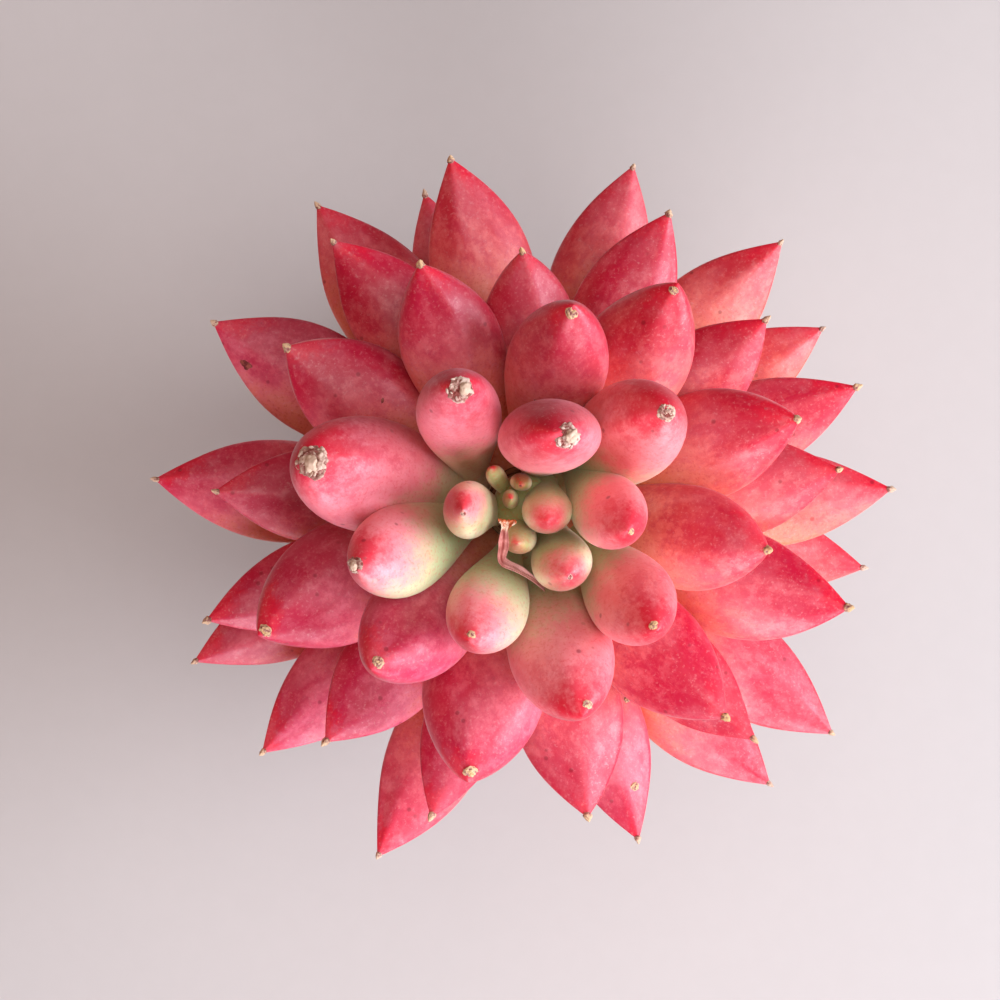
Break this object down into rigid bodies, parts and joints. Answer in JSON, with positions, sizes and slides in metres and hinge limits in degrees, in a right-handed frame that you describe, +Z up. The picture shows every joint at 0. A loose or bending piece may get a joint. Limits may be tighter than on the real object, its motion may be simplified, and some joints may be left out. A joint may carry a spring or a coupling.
{
  "type": "potted echeveria succulent",
  "caption": "Small rosette of fleshy red pointed leaves with a pale heart on a short stem, growing in a round clay pot of gritty mix.",
  "frame": {"origin": "centre of the flat underside of the pot", "axes": "+Z up along the pot's axis and the stem, +X towards the leaf side at the right of the picture, +Y towards its top"},
  "size_m": [0.0892, 0.0842, 0.104],
  "materials": {
    "pot": "matt unglazed terracotta",
    "soil": "rough gritty potting mix",
    "rosette": "satin fleshy leaf with a thin powdery bloom",
    "heart_leaves": "satin pale young leaf with a thin powdery bloom",
    "dried_flower_stalk": "dry papery fibre"
  },
  "bodies": {
    "root": {"pot": "pot", "soil": "soil", "rosette": "rosette", "heart_leaves": "heart_leaves", "dried_flower_stalk": "dried_flower_stalk"}
  },
  "joints": []
}
